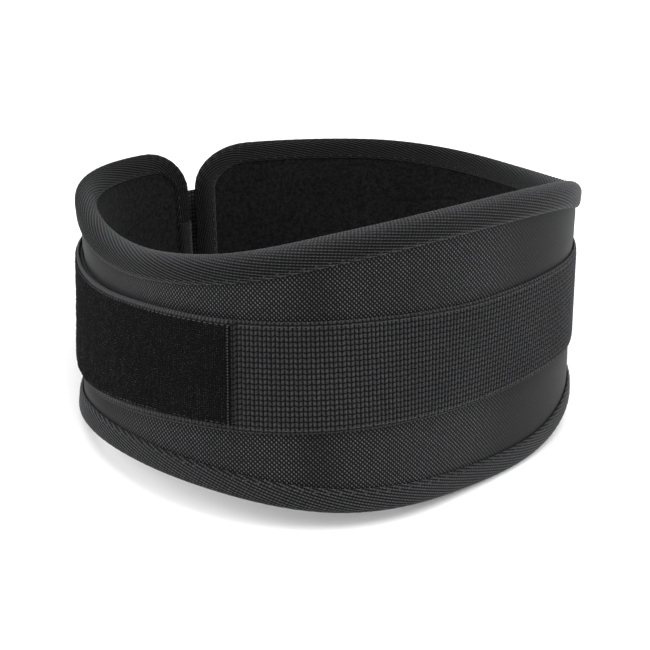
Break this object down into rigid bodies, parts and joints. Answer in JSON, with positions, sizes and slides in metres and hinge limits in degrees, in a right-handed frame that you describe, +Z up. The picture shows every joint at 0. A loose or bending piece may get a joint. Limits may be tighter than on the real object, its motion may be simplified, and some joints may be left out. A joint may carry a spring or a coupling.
{
  "type": "weightlifting belt",
  "caption": "Padded woven waist belt, tall at the back, with taped edges, an outer webbing band and a closing strap with a loop-pile face.",
  "frame": {"origin": "bottom centre of the bounding box, on the surface that the belt stands on", "axes": "+Z up through the ring, the ends of the pad meet at -Y (the wearer's front) and the tall back is at +Y"},
  "size_m": [0.3166, 0.3258, 0.1673],
  "materials": {
    "shell_fabric": "woven nylon, black, matt with a soft sheen",
    "lining_fabric": "brushed knit lining, black, matt",
    "binding_tape": "twill tape, black, fine diagonal ribs",
    "webbing_band": "heavy ribbed webbing, black",
    "loop_pile": "dense loop pile, black, fuzzy"
  },
  "bodies": {
    "root": {"padded_body": "shell_fabric", "lining": "lining_fabric", "edge_binding": "binding_tape", "binding_lap": "binding_tape", "webbing": "webbing_band", "strap": "webbing_band", "loop_pile": "loop_pile"}
  },
  "joints": []
}
